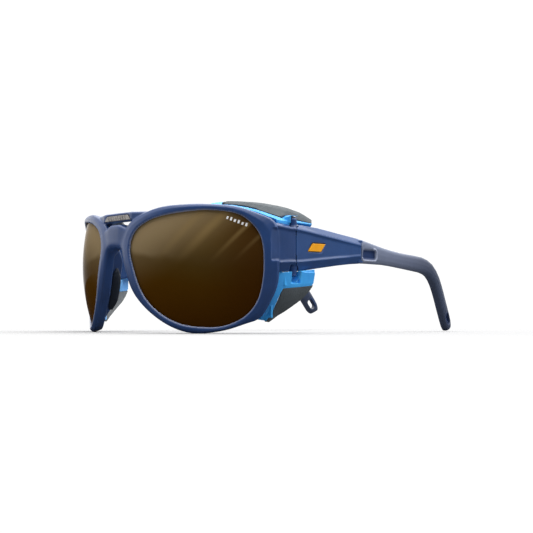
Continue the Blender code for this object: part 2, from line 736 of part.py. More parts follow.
def cord_hole(side):
    """A slot through the blade, along its own direction."""
    y, z = CORD_HOLE
    centre = tip_centre(side, y, z)
    before, after = (tip_centre(side, *TIP_STATIONS[k][:2]) for k in (-4, -2))
    along = (after - before).normalized()
    face = temple_normal(y)
    face = (face - along * face.dot(along)).normalized()
    across = along.cross(face)
    ends, r = (CORD_HOLE_LENGTH - CORD_HOLE_WIDTH) / 2, CORD_HOLE_WIDTH / 2
    outline = []
    for j in range(12):
        t = 2 * math.pi * (j + 0.5) / 12
        c, s = math.cos(t), math.sin(t)
        outline.append(centre + along * (math.copysign(ends, c) + r * c) + across * (r * s))
    rings = []
    for reach in (-6, 6):
        moved = [p + face * reach for p in outline]
        rings.append([(side * p.x, p.y, p.z) for p in moved])
    return loft(rings)


def temples():
    for label, side in SIDES:
        pivot = hinge_centre(side)
        arm = place_mesh("temple_arm_" + label, *temple_arm_shape(side), pivot=pivot, material="navy")
        for name, low, high in (("upper", KNUCKLE_HIGH, 24.0), ("lower", -6.0, KNUCKLE_LOW)):
            shape = cylinder(pivot, KNUCKLE_RADIUS + 0.35, low, high)
            boolean(arm, place_mesh(name + "_knuckle_room_" + label, *shape), "DIFFERENCE")
        knuckle = cylinder(pivot, KNUCKLE_RADIUS, KNUCKLE_LOW + 0.15, KNUCKLE_HIGH - 0.15)
        boolean(arm, place_mesh("temple_knuckle_" + label, *knuckle), "UNION")
        bore = cylinder(pivot, SCREW_BORE, -8.0, 26.0, 16)
        boolean(arm, place_mesh("temple_bore_" + label, *bore), "DIFFERENCE")
        room = place_mesh("core_room_" + label, *core_shape(side, CORE_RADIUS + GAP, 0.4))
        boolean(arm, room, "DIFFERENCE")
        boolean(arm, place_mesh("badge_room_" + label, *badge_shape(side, GAP, GAP)), "DIFFERENCE")
        tip = place_mesh("temple_tip_" + label, *tip_shape(side), pivot=pivot, material="tip_rubber")
        boolean(tip, room, "DIFFERENCE")
        boolean(tip, place_mesh("cord_hole_" + label, *cord_hole(side)), "DIFFERENCE")
        boolean(tip, place_mesh("tip_pocket_" + label, *tip_pocket(side)), "DIFFERENCE")
        core = core_shape(side, CORE_RADIUS)
        place_mesh("temple_core_" + label, *core, pivot=pivot, material="steel")
        badge = badge_shape(side)
        place_mesh("temple_badge_" + label, *badge, pivot=pivot, material="badge_orange")


def hinge_screws():
    """A turned screw through each hinge, its head on top of the upper peg."""
    for label, side in SIDES:
        centre = hinge_centre(side)
        low, seat = PEG_BOTTOM + 0.4, PEG_TOP + GAP
        profile = (
            (SCREW_RADIUS, low), (SCREW_RADIUS, seat), (SCREW_HEAD_RADIUS, seat),
            (SCREW_HEAD_RADIUS, seat + SCREW_HEAD_HEIGHT),
        )
        turns = [2 * math.pi * i / 16 for i in range(16)]
        rings = [
            [(centre.x + r * math.cos(t), centre.y + r * math.sin(t), z) for t in turns]
            for r, z in profile
        ]
        place_mesh("hinge_screw_" + label, *loft(rings), pivot=centre, material="steel")


# ---------------------------------------------------------------- side shields

def lower_row(t):
    """The lower flap's front and rear points at the share t of its height."""
    rows = np.array(LOWER_ROWS)
    at = np.linspace(0, 1, len(rows))
    row = [np.interp(t, at, rows[:, k]) for k in range(6)]
    return Vector(row[:3]), Vector(row[3:])


def lower_flap_point(side, s, t):
    """s runs from the front edge to the rear, t from the temple down."""
    front, rear = lower_row(t)
    p = front.lerp(rear, s)
    bulge = 1.5 * math.sin(math.pi * s) * min(1.0, (rear - front).length / 14.0)
    return (side * (p.x + bulge), p.y, p.z)


def strip_share(t, width):
    """The share of the flap's depth that a width in mm takes at the height t."""
    front, rear = lower_row(t)
    return min(1.0, width / (rear - front).length)


def upper_flap_point(side, t, s):
    """t runs along the rim's top to the temple, s from the rim up and back."""
    rows = np.array(UPPER_COLUMNS)
    at = np.linspace(0, 1, len(rows))
    row = [np.interp(t, at, rows[:, k]) for k in range(9)]
    front, crest, rear = Vector(row[:3]), Vector(row[3:6]), Vector(row[6:])
    if s < 0.6:
        p = front.lerp(crest, s / 0.6)
    else:
        p = crest.lerp(rear, (s - 0.6) / 0.4)
    return (side * p.x, p.y, p.z)


def carrier_lower(side):
    """The front strip all the way down, and the band along the top of the flap."""
    grid = []
    for i in range(7):
        down, band = i / 6, LOWER_BAND * i / 6
        row = [lower_flap_point(side, strip_share(down, w), down)
               for w in (0.0, LOWER_STRIP / 2, LOWER_STRIP)]
        start = strip_share(band, LOWER_STRIP + 0.4)
        row += [lower_flap_point(side, start + (1 - start) * share, band)
                for share in (0.0, 0.2, 0.4, 0.6, 0.8, 1.0)]
        grid.append(row)
    return sheet(grid, SHIELD_THICKNESS, (-side, 0, 0))


def panel_lower(side):
    grid = []
    for t in np.linspace(LOWER_BAND + PANEL_GAP_SHARE, 1.0, 7):
        start = strip_share(t, LOWER_STRIP + PANEL_GAP)
        grid.append([lower_flap_point(side, start + (1 - start) * share, t)
                     for share in np.linspace(0, 1, 8)])
    return sheet(grid, SHIELD_THICKNESS - 0.2, (-side, 0, 0))


def strip_height(t):
    return 0.7 if t < UPPER_TAB else UPPER_STRIP


def panel_start(t):
    """Where the soft upper panel begins: above the tab, the strip or the peg's boss."""
    if t < UPPER_TAB + 0.03:
        return 0.76
    return float(np.interp(t, *zip(*BOSS_CLEARANCE)))


def carrier_upper(side):
    tab = UPPER_TAB
    columns = (0.0, 0.06, tab - 0.01, tab + 0.02, 0.25, 0.4, 0.5, 0.59, 0.667, 0.75, 0.83, 0.91, 1.0)
    grid = [
        [upper_flap_point(side, t, strip_height(t) * i / 3) for t in columns]
        for i in range(4)
    ]
    return sheet(grid, SHIELD_THICKNESS, (-side, 0, -1))


def panel_upper(side):
    columns = (
        0.0, 0.06, 0.13, 0.15, 0.25, 0.35, 0.45, 0.57, 0.6, 0.63, 0.667, 0.71, 0.75, 0.78, 0.8,
        0.82, 0.88, 0.94, 1.0,
    )
    grid = []
    for i in range(6):
        row = []
        for t in columns:
            low = panel_start(t)
            row.append(upper_flap_point(side, t, low + (1.0 - low) * i / 5))
        grid.append(row)
    return sheet(grid, SHIELD_THICKNESS - 0.2, (-side, 0, -1))


def side_shields():
    for label, side in SIDES:
        pivot = hinge_centre(side)
        lower = carrier_lower(side)
        frame = place_mesh("shield_frame_" + label, *lower, pivot=pivot, material="shield_blue")

        def join(name, shape):
            boolean(frame, place_mesh(name + label, *shape), "UNION")

        join("shield_strip_", carrier_upper(side))
        join("shield_web_", side_box(side, *SHIELD_WEB))
        plan = [(side * x, y, 0.0) for x, y in UPPER_BOSS_PLAN]
        join("upper_boss_", prism(plan, *((0, 0, z) for z in UPPER_BOSS_HEIGHT)))
        join("lower_boss_", side_box(side, *LOWER_BOSS))
        room = place_mesh("end_piece_room_" + label, *end_piece_room(side))
        boolean(frame, room, "DIFFERENCE")
        slot_half = PEG_RADIUS + GAP
        for name, low, high in CLIP_SLOTS:
            y0, y1 = HINGE.y - slot_half, HINGE.y + slot_half
            slot = side_box(side, (HINGE.x, y0, low), (70.0, y1, high))
            boolean(frame, place_mesh(name + "_clip_slot_" + label, *slot), "DIFFERENCE")
            round_end = cylinder(hinge_centre(side), slot_half + 0.02, low, high)
            boolean(frame, place_mesh(name + "_clip_round_" + label, *round_end), "DIFFERENCE")
        for name, shape in (("lower_", panel_lower(side)), ("upper_", panel_upper(side))):
            full_name = "shield_panel_" + name + label
            place_mesh(full_name, *shape, pivot=pivot, material="shield_grey")


# ---------------------------------------------------------------- assembly

frame_front()
place_mesh("bridge_plate", *bridge_plate_shape(), material="plate_metal")
for label, side in SIDES:
    place_mesh("lens_" + label, *lens_body(side), material="lens_brown")
    pivot = pad_centre(side)
    pad = place_mesh("nose_pad_" + label, *nose_pad(side), pivot=pivot, material="pad_rubber")
    wire_room = pad_wire(side, PAD_WIRE_RADIUS + GAP, GAP)
    boolean(pad, place_mesh("pad_wire_room_" + label, *wire_room), "DIFFERENCE")
    place_mesh("nose_pad_wire_" + label, *pad_wire(side, PAD_WIRE_RADIUS), pivot=pivot, material="steel")
temples()
hinge_screws()
side_shields()
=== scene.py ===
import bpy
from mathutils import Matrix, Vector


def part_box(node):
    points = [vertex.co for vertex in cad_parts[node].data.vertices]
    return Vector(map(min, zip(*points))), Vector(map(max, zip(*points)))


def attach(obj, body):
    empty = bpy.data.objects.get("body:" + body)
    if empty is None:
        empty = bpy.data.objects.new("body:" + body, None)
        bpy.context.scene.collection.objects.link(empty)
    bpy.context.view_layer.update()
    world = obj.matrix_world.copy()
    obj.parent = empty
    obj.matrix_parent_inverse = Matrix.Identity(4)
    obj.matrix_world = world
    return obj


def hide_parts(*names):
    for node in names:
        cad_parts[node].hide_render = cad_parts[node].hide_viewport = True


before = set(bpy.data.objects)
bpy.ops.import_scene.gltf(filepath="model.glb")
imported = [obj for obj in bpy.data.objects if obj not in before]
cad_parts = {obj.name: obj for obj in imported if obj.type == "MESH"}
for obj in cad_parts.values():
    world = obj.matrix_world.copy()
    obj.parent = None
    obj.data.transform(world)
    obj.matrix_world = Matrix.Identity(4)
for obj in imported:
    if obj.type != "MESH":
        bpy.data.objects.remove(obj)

"""The looks of a pair of glacier glasses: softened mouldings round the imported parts, tinted
lenses, procedural finishes, a pale studio and a camera. Lengths in the tables are in mm."""
import math

import bmesh
import bpy
import numpy as np
from mathutils import Vector

MM = 0.001
SIDES = (("left", 1), ("right", -1))
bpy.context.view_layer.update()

# The design frame: x to the left, y to the rear, z up, with its origin midway between the
# lens centres. Places on one side are given for the left side and mirrored. HINGE_Y is where
# the hinges are, and STAND_HEIGHT is how far the origin is above the bottom of the front.
HINGE_Y = 30.9
STAND_HEIGHT = 24.6
LENS_CENTRE_X = 39.03
LENS_WRAP, LENS_TILT = math.radians(25.95), math.radians(3.26)
LENS_RADIUS, LENS_THICKNESS = 80.0, 2.0
SCREW_LOW, SCREW_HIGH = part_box("hinge_screw_left")
ORIGIN = Vector((0.0, (SCREW_LOW.y + SCREW_HIGH.y) / 2 - HINGE_Y * MM,
                 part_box("frame_front")[0].z + STAND_HEIGHT * MM))


def at(x, y, z):
    """A design-frame point, in metres in the row frame."""
    return ORIGIN + Vector((x, y, z)) * MM


def local(side, spots):
    """Row-frame points as design-frame rows in mm, mirrored onto the left side."""
    made = (spots - np.array(ORIGIN)) / MM
    made[:, 0] *= side
    return made


def placed(side, rows):
    """Design-frame rows back as row-frame points."""
    made = rows.copy()
    made[:, 0] *= side
    return made * MM + np.array(ORIGIN)


# ---------------------------------------------------------------- meshes

WELD = 1e-6
SMOOTH_FACTOR = 0.5
# How many steps of weight the easing of a region has
EASE_LEVELS = 10


def new_object(name, mesh):
    made = bpy.data.objects.new(name, mesh)
    bpy.context.scene.collection.objects.link(made)
    return made


def mesh_from(name, points, faces):
    """A mesh from points in metres, facing outward and smooth shaded."""
    mesh = bpy.data.meshes.new(name)
    shape = bmesh.new()
    corners = [shape.verts.new(p) for p in points]
    for face in faces:
        shape.faces.new([corners[i] for i in face])
    bmesh.ops.recalc_face_normals(shape, faces=shape.faces)
    shape.to_mesh(mesh)
    shape.free()
    mesh.shade_smooth()
    return mesh


def welded(node):
    """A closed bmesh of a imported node."""
    shape = bmesh.new()
    shape.from_mesh(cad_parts[node].data)
    bmesh.ops.remove_doubles(shape, verts=shape.verts, dist=WELD)
    return shape


def evaluated(made):
    """Applies an object's modifiers."""
    graph = bpy.context.evaluated_depsgraph_get()
    mesh = bpy.data.meshes.new_from_object(made.evaluated_get(graph))
    made.modifiers.clear()
    old = made.data
    made.data = mesh
    bpy.data.meshes.remove(old)
    mesh.name = made.name


def points_of(mesh):
    flat = np.zeros(len(mesh.vertices) * 3)
    mesh.vertices.foreach_get("co", flat)
    return flat.reshape(-1, 3)


def moulded(node, name, voxel, passes, extras=(), **finish):
    """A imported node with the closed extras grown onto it, and its edges softened."""
    shape = welded(node)
    for points, faces in extras:
        corners = [shape.verts.new(p) for p in points]
        for face in faces:
            shape.faces.new([corners[i] for i in face])
    bmesh.ops.triangulate(shape, faces=shape.faces)
    bmesh.ops.scale(shape, vec=(1 / MM,) * 3, verts=shape.verts)
    mesh = bpy.data.meshes.new(name)
    shape.to_mesh(mesh)
    shape.free()
    return softened(name, mesh, voxel, passes, **finish)


def softened(name, mesh, voxel, passes, eased=None, shade=None, sculpt=None):
    """A mesh in mm made into one even skin in metres, then eased, shaded and sculpted."""
    made = new_object(name, mesh)
    remesh = made.modifiers.new("remesh", "REMESH")
    remesh.mode = "VOXEL"
    remesh.voxel_size = voxel
    smoothed(made, passes)
    if eased:
        ease(made, *eased)
    spots = points_of(made.data) * MM
    # The shade function's shares go into the "hollow" attribute: painted shade where positive, painted
    # highlight where negative
    if shade:
        shares = made.data.attributes.new("hollow", "FLOAT", "POINT")
        shares.data.foreach_set("value", shade(spots))
    if sculpt:
        spots = sculpt(spots)
    made.data.vertices.foreach_set("co", spots.ravel())
    made.data.update()
    made.data.shade_smooth()
    return made


def smoothed(made, passes, group=""):
    """Rounds a mesh's edges, by the weights of a vertex group where one is named."""
    smooth = made.modifiers.new("smooth", "SMOOTH")
    smooth.factor = SMOOTH_FACTOR
    smooth.iterations = passes
    smooth.vertex_group = group
    evaluated(made)


def ease(made, half_width, low, fade, passes):
    """Extra smoothing near the middle plane of a mesh in mm, fading out at its border."""
    spots = points_of(made.data) - np.array(ORIGIN) / MM
    share = np.clip((half_width - np.abs(spots[:, 0])) / fade, 0, 1)
    share *= np.clip((spots[:, 2] - low) / fade, 0, 1)
    levels = np.round(share * EASE_LEVELS).astype(int)
    group = made.vertex_groups.new(name="eased")
    for level in range(1, EASE_LEVELS + 1):
        group.add(np.flatnonzero(levels == level).tolist(), level / EASE_LEVELS, "REPLACE")
    smoothed(made, passes, group.name)


def finish_piece(made, body, slot, material, *nodes):
    """Paints a piece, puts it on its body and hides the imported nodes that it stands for."""
    made.data.materials.clear()
    made.data.materials.append(material)
    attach(made, body)
    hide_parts(*nodes)


def loft(rings):
    """Points and faces of a skin over rings, capped at both ends."""
    count = len(rings[0])
    points = [p for ring in rings for p in ring]
    faces = [tuple(reversed(range(count))), tuple(range(len(points) - count, len(points)))]
    for i in range(len(rings) - 1):
        a, b = i * count, (i + 1) * count
        for j in range(count):
            k = (j + 1) % count
            faces.append((a + j, a + k, b + k, b + j))
    return points, faces


def block(side, low, high):
    """A box."""
    (x0, y0, z0), (x1, y1, z1) = low, high
    xs = sorted((side * x0, side * x1))
    return loft([[at(xs[0], y0, z), at(xs[1], y0, z), at(xs[1], y1, z), at(xs[0], y1, z)]
                 for z in (z0, z1)])


def fillet(side, rows):
    """A bar along y. Each row is y, x from and to, z from and to."""
    return loft([[at(side * x, y, z) for x, z in ((x0, z0), (x1, z0), (x1, z1), (x0, z1))]
                 for y, x0, x1, z0, z1 in rows])


# ---------------------------------------------------------------- material nodes

# Most of a noise texture's values lie between these two
NOISE_RANGE = (0.3, 0.7)
# A mix node's two inputs and its output, when it mixes colours and when it mixes numbers
COLOUR_A, COLOUR_B, COLOUR_OUT = 6, 7, 2
NUMBER_A, NUMBER_B, NUMBER_OUT = 2, 3, 0


def node_material(name):
    made = bpy.data.materials.new(name)
    made.use_nodes = True
    tree = made.node_tree
    return made, tree, tree.nodes["Principled BSDF"]


def object_spot(tree):
    return tree.nodes.new("ShaderNodeTexCoord").outputs["Object"]


def feed(tree, socket, value):
    """Puts a socket, a number or a colour of three numbers into a socket."""
    if hasattr(value, "links"):
        tree.links.new(value, socket)
    elif isinstance(value, (int, float)):
        socket.default_value = value
    else:
        socket.default_value = (*value, 1.0)


def noise(tree, scale, detail=2.0):
    made = tree.nodes.new("ShaderNodeTexNoise")
    made.inputs["Scale"].default_value = scale
    made.inputs["Detail"].default_value = detail
    tree.links.new(object_spot(tree), made.inputs["Vector"])
    return made.outputs["Fac"]


def mapped(tree, value, low, high, start=NOISE_RANGE[0], end=NOISE_RANGE[1], style="LINEAR"):
    """A value that runs from start to end, made to run from low to high."""
    made = tree.nodes.new("ShaderNodeMapRange")
    made.interpolation_type = style
    for name, number in (("From Min", start), ("From Max", end), ("To Min", low), ("To Max", high)):
        made.inputs[name].default_value = number
    tree.links.new(value, made.inputs["Value"])
    return made.outputs["Result"]


def faded(tree, value, start, end, strength, least=0.0):
    """Rises softly from least to strength as a value goes from start to end."""
    return mapped(tree, value, least, strength, start, end, "SMOOTHSTEP")


def calculated(tree, operation, *values):
    made = tree.nodes.new("ShaderNodeMath")
    made.operation = operation
    for socket, value in zip(made.inputs, values):
        feed(tree, socket, value)
    return made.outputs["Value"]


def added(tree, values):
    total = values[0]
    for value in values[1:]:
        total = calculated(tree, "ADD", total, value)
    return total


def multiplied(tree, first, second):
    return calculated(tree, "MULTIPLY", first, second)


def difference(tree, first, second):
    return calculated(tree, "SUBTRACT", first, second)


def dot(tree, vector, direction, offset=0.0):
    made = tree.nodes.new("ShaderNodeVectorMath")
    made.operation = "DOT_PRODUCT"
    tree.links.new(vector, made.inputs[0])
    made.inputs[1].default_value = direction
    return calculated(tree, "ADD", made.outputs["Value"], offset)


def mixed(tree, share, first, second):
    """A colour mix; each colour is three numbers or a socket."""
    made = tree.nodes.new("ShaderNodeMix")
    made.data_type = "RGBA"
    feed(tree, made.inputs["Factor"], share)
    feed(tree, made.inputs[COLOUR_A], first)
    feed(tree, made.inputs[COLOUR_B], second)
    return made.outputs[COLOUR_OUT]


def bumped(tree, height, distance):
    made = tree.nodes.new("ShaderNodeBump")
    made.inputs["Strength"].default_value = 1.0
    made.inputs["Distance"].default_value = distance
    tree.links.new(height, made.inputs["Height"])
    return made.outputs["Normal"]


# ---------------------------------------------------------------- finishes

CLOUD_SCALE, CLOUD_DETAIL = 90.0, 4.0
SHEEN_SCALE, SHEEN_DETAIL, SHEEN_SPREAD = 700.0, 3.0, 0.05
# The pointiness at which the painted highlight on an edge starts, and at which it is full
EDGE_HIGHLIGHT_RANGE = (0.511, 0.54)
# The painted edge highlight's colour, and the linings' colour: a factor and a lift
EDGE_HIGHLIGHT_COLOUR, LINING_COLOUR = (1.6, 0.06), (0.6, 0.25)
# Linings fade out from the first to the second. The measure is how far a face turns outward
# times how far out it is, in metres
LINING_RANGE = (-0.03, 0.0)


def lightened(colour, factor, lift):
    return [min(c * factor + lift, 1.0) for c in colour]


# Paints a highlight on sharp edges, found by the mesh's pointiness
def painted_edge_highlights(tree, tint, colour, strength):
    edge = tree.nodes.new("ShaderNodeNewGeometry").outputs["Pointiness"]
    share = mapped(tree, edge, 0.0, strength, *EDGE_HIGHLIGHT_RANGE)
    return mixed(tree, share, tint, lightened(colour, *EDGE_HIGHLIGHT_COLOUR))


def lined(tree, tint, colour, strength):
    """Lightens the faces that look towards the middle plane."""
    facing = tree.nodes.new("ShaderNodeNewGeometry").outputs["Normal"]
    outward = multiplied(tree, dot(tree, facing, (1, 0, 0)), dot(tree, object_spot(tree), (1, 0, 0)))
    share = faded(tree, outward, *LINING_RANGE, 0.0, least=strength)
    return mixed(tree, share, tint, lightened(colour, *LINING_COLOUR))


def plastic(name, colour, roughness, grain, depth, spread=0.12, specular=0.5, metallic=0.0,
            edge_highlight=0.0, lining=0.0, along=(), hollow=None, raised=None):
    """Moulded stuff: cloudy colour, uneven sheen and a fine grain of a scale and a depth in mm.

    Sharp edges get a painted highlight of the strength given for them, lining lightens inner
    faces, and along gives colours reached between two places along y, used for the painted
    sheen on the tips. hollow is the colour of painted shade in recesses and raised the colour
    of painted highlight on edges and lips, where the mesh's "hollow" attribute is positive
    and negative."""
    made, tree, shader = node_material(name)
    cloud = mapped(tree, noise(tree, CLOUD_SCALE, CLOUD_DETAIL), 0.0, 1.0)
    dark = [c * (1 - spread) for c in colour]
    tint = mixed(tree, cloud, dark, lightened(colour, 1 + spread, 0.0))
    if edge_highlight:
        tint = painted_edge_highlights(tree, tint, colour, edge_highlight)
    if lining:
        tint = lined(tree, tint, colour, lining)
    # Colours reached along y, such as the tips' painted sheen
    for start, end, far in along:
        share = faded(tree, dot(tree, object_spot(tree), (0, 1, 0)), start * MM, end * MM, 1.0)
        tint = mixed(tree, share, tint, far)
    # Painted shade where the "hollow" attribute is positive, and painted highlight where it is
    # negative
    if hollow:
        kept = tree.nodes.new("ShaderNodeAttribute")
        kept.attribute_name = "hollow"
        tint = mixed(tree, kept.outputs["Fac"], tint, hollow)
        tint = mixed(tree, multiplied(tree, kept.outputs["Fac"], -1.0), tint, raised)
    tree.links.new(tint, shader.inputs["Base Color"])
    sheen = noise(tree, SHEEN_SCALE, SHEEN_DETAIL)
    tree.links.new(mapped(tree, sheen, roughness - SHEEN_SPREAD, roughness + SHEEN_SPREAD),
                   shader.inputs["Roughness"])
    tree.links.new(bumped(tree, noise(tree, grain), depth * MM), shader.inputs["Normal"])
    shader.inputs["Specular IOR Level"].default_value = specular
    shader.inputs["Metallic"].default_value = metallic
    return made


# In the frame's colours, raised is the painted highlight round the lens openings
NAVY = plastic("navy_moulding", (0.016, 0.052, 0.175), roughness=0.33, grain=2600.0, depth=0.008,
               edge_highlight=0.45, hollow=(0.010, 0.030, 0.100), raised=(0.30, 0.33, 0.46))
# The temples' navy is the frame's navy painted lighter, a painted highlight for the light on the arms
TEMPLE_NAVY_PAINTED_LIGHTER = plastic("temple_navy_painted_lighter", (0.018, 0.066, 0.215), roughness=0.33, grain=2600.0,
                      depth=0.008, edge_highlight=0.45)
# The tips are painted lighter at the front and darker towards the rear, a painted sheen: y from and
# to, and the colour reached
TIP_PAINTED_SHEEN = ((10.0, 42.0, (0.115, 0.138, 0.215)), (34.0, 60.0, (0.046, 0.062, 0.112)))
# In the tip's colours, hollow is the painted shade in the pocket and cord hole, and raised the painted
# highlight on the pocket's lip
TIP = plastic("tip_rubber", (0.165, 0.196, 0.29), roughness=0.4, grain=3200.0, depth=0.012,
              specular=0.35, along=TIP_PAINTED_SHEEN, hollow=(0.012, 0.038, 0.135),
              raised=(0.45, 0.50, 0.66))
BLUE = plastic("shield_blue", (0.050, 0.395, 0.98), roughness=0.38, grain=2600.0, depth=0.008,
               specular=0.4, edge_highlight=0.3, lining=0.45)
CHARCOAL = plastic("shield_charcoal", (0.078, 0.092, 0.102), roughness=0.7, grain=1700.0,
                   depth=0.13, spread=0.2, specular=0.3, lining=0.5)
PAD = plastic("pad_rubber", (0.010, 0.016, 0.030), roughness=0.5, grain=3200.0, depth=0.012,
              specular=0.3)
STEEL = plastic("screw_steel", (0.62, 0.62, 0.63), roughness=0.25, grain=5000.0, depth=0.006,
                metallic=1.0)
PLATE = plastic("bridge_silver", (0.25, 0.235, 0.225), roughness=0.35, grain=3000.0, depth=0.03,
                spread=0.35, metallic=0.6)
ORANGE = plastic("badge_orange", (0.95, 0.40, 0.008), roughness=0.4, grain=2600.0, depth=0.006,
                 specular=0.3)
WHITE = plastic("mark_white", (0.86, 0.86, 0.86), roughness=0.4, grain=2600.0, depth=0.004)


# ---------------------------------------------------------------- lenses

# Angles round a lens, the least reach of a point on its edge, and the waves its outline keeps
LENS_STEPS, LENS_EDGE_FROM, LENS_WAVES = 240, 18.0, 26
# Where the rings on a lens's faces lie, as shares of its outline
LENS_SHARES = (*np.linspace(0.06, 0.96, 20), 0.985)
# The edge of a lens is rounded over this depth, with a ring at this drop and this far in
EDGE_DEPTH, EDGE_DROP, EDGE_IN = 0.2, 0.03, 0.05

# Heights on the glass, from the bottom up, and its colour there
GLASS_TINTS = (
    (0.0, (0.058, 0.020, 0.0010)), (0.35, (0.062, 0.026, 0.0018)), (0.52, (0.064, 0.034, 0.0062)),
    (0.6, (0.072, 0.042, 0.0115)), (0.8, (0.105, 0.064, 0.019)), (1.0, (0.125, 0.077, 0.023)),
)
GLASS_SPAN, GLASS_LEAN, GLASS_CLOUD = (-21.0, 22.0), 0.11, 0.8
# Colours of the painted reflections on the glass: the pale patch and the streaks
GLASS_REFLECTION, GLASS_STREAK_REFLECTION = (0.29, 0.215, 0.118), (0.27, 0.18, 0.07)
GLASS_DARK = (0.042, 0.013, 0.0012)
# Where the dark outer part, the painted reflection patch and the painted reflection streaks fade in:
# from, to and strength
DARK_FADE, REFLECTION_FADE, STREAK_REFLECTION_FADE = (2.0, 27.0, 0.75), (2.0, 30.0, 0.85), (1.0, 17.0, 0.62)
REFLECTION_LEAN = 0.55
# The painted reflection patch is weaker below this band of height, by this much
REFLECTION_STEP, REFLECTION_LEAST = (2.2, 5.2), 0.35
# Soft painted reflection streaks on the glass: place across the slant, half width and strength
STREAK_REFLECTIONS = ((-12.9, 2.6, 0.5), (-5.6, 3.0, 0.8), (4.4, 1.5, 0.75), (10.7, 1.3, 0.55))
GLASS_ROUGHNESS, GLASS_WAVE = (0.03, 0.07), 0.002
GLASS_IOR, GLASS_SPECULAR = 1.06, 0.05
# Scales of the noise in its tint, in its gloss and in its waviness, and the last one's detail
CLOUDINESS, GLOSSINESS, WAVINESS = 70.0, 400.0, (120.0, 1.0)

# Plain slanted bars near the outer top corner of each lens, from and to (outward, up)
MARK_FROM, MARK_TO, MARK_COUNT = (14.2, 18.9), (21.6, 15.9), 6
MARK_WIDTH, MARK_SLANT, MARK_FALL = 0.75, 0.3, 0.2
# Their heights by turns, and how far their two faces stand off the glass
MARK_HEIGHTS, MARK_FACES = (1.0, 1.25), (0.01, 0.06)


def lens_centre(side):
    return at(side * LENS_CENTRE_X, 0.0, 0.0)


def lens_axes(side):
    sw, cw = math.sin(LENS_WRAP), math.cos(LENS_WRAP)
    st, ct = math.sin(LENS_TILT), math.cos(LENS_TILT)
    across = Vector((side * cw, sw, 0.0))
    up = Vector((side * sw * st, -cw * st, ct))
    forward = Vector((side * sw * ct, -cw * ct, -st))
    return across, up, forward


def lens_point(side, u, v, n):
    """The point of a lens u outward, v up and n in front of its spherical face."""
    across, up, forward = lens_axes(side)
    drop = (u * u + v * v) / (2 * LENS_RADIUS)
    normal = (forward + across * (u / LENS_RADIUS) + up * (v / LENS_RADIUS)).normalized()
    return lens_centre(side) + (across * u + up * v - forward * drop + normal * n) * MM


def lens_outline(side, label):
    """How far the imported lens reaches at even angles, with the facets smoothed out."""
    across, up, _ = lens_axes(side)
    spots = points_of(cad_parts["lens_" + label].data)
    spots = (spots - np.array(lens_centre(side))) / MM
    u, v = spots @ np.array(across), spots @ np.array(up)
    reach, turn = np.hypot(u, v), np.arctan2(v, u)
    bins = np.round(np.degrees(turn)).astype(int)
    edge = [np.argmax(np.where(bins == b, reach, -1)) for b in np.unique(bins)]
    edge = [i for i in edge if reach[i] > LENS_EDGE_FROM]
    order = sorted(edge, key=lambda i: turn[i])
    angles = np.linspace(-math.pi, math.pi, LENS_STEPS, endpoint=False)
    line = np.interp(angles, turn[order], reach[order], period=2 * math.pi)
    waves = np.fft.rfft(line)
    waves[LENS_WAVES:] = 0
    return angles, np.fft.irfft(waves, LENS_STEPS)


def lens_mesh(side, label):
    """A closed spherical shell with a rounded edge."""
    angles, reach = lens_outline(side, label)
    front = [(share * reach, 0.0) for share in LENS_SHARES]
    front += [(reach - EDGE_IN, -EDGE_DROP), (reach, -EDGE_DEPTH)]
    back = [(row, -LENS_THICKNESS - n) for row, n in reversed(front)]
    rings = [[lens_point(side, r * math.cos(a), r * math.sin(a), n) for a, r in zip(angles, row)]
             for row, n in front + back]
    return mesh_from("lens_glass_" + label, *loft(rings))


# One soft band of painted reflection across the slant
def streak_reflection(tree, place, middle, half, strength):
    away = calculated(tree, "ABSOLUTE", difference(tree, place, middle))
    return faded(tree, away, 0.0, half, 0.0, least=strength)


def glass_gradient(tree, height):
    """The colour of the glass by its height."""
    ramp = tree.nodes.new("ShaderNodeValToRGB")
    stops = ramp.color_ramp.elements
    while len(stops) < len(GLASS_TINTS):
        stops.new(0.5)
    for stop, (place, colour) in zip(stops, GLASS_TINTS):
        stop.position = place
        stop.color = (*colour, 1)
    tree.links.new(mapped(tree, height, 0.0, 1.0, *GLASS_SPAN), ramp.inputs["Fac"])
    return ramp.outputs["Color"]


def glass_colour(tree, side):
    """Brown glass, paler at the top, with a pale painted reflection towards the top on the nose side
    and soft slanting painted reflection streaks.
    """
    across, up, _ = lens_axes(side)
    centre = lens_centre(side)
    spot = object_spot(tree)
    u = multiplied(tree, dot(tree, spot, across, -across.dot(centre)), 1 / MM)
    v = multiplied(tree, dot(tree, spot, up, -up.dot(centre)), 1 / MM)
    cloud = mapped(tree, noise(tree, CLOUDINESS), -GLASS_CLOUD, GLASS_CLOUD)
    height = added(tree, [v, multiplied(tree, u, GLASS_LEAN), cloud])
    tint = glass_gradient(tree, height)
    tint = mixed(tree, faded(tree, u, *DARK_FADE), tint, GLASS_DARK)
    # The pale painted reflection patch, leaning towards the top on the nose side and weaker low down
    leaning = difference(tree, v, multiplied(tree, u, REFLECTION_LEAN))
    step = faded(tree, height, *REFLECTION_STEP, 1.0, least=REFLECTION_LEAST)
    reflection = multiplied(tree, faded(tree, leaning, *REFLECTION_FADE), step)
    tint = mixed(tree, reflection, tint, GLASS_REFLECTION)
    slant = multiplied(tree, difference(tree, u, v), math.sqrt(0.5))
    bands = added(tree, [streak_reflection(tree, slant, *row) for row in STREAK_REFLECTIONS])
    return mixed(tree, multiplied(tree, bands, faded(tree, v, *STREAK_REFLECTION_FADE)), tint, GLASS_STREAK_REFLECTION)


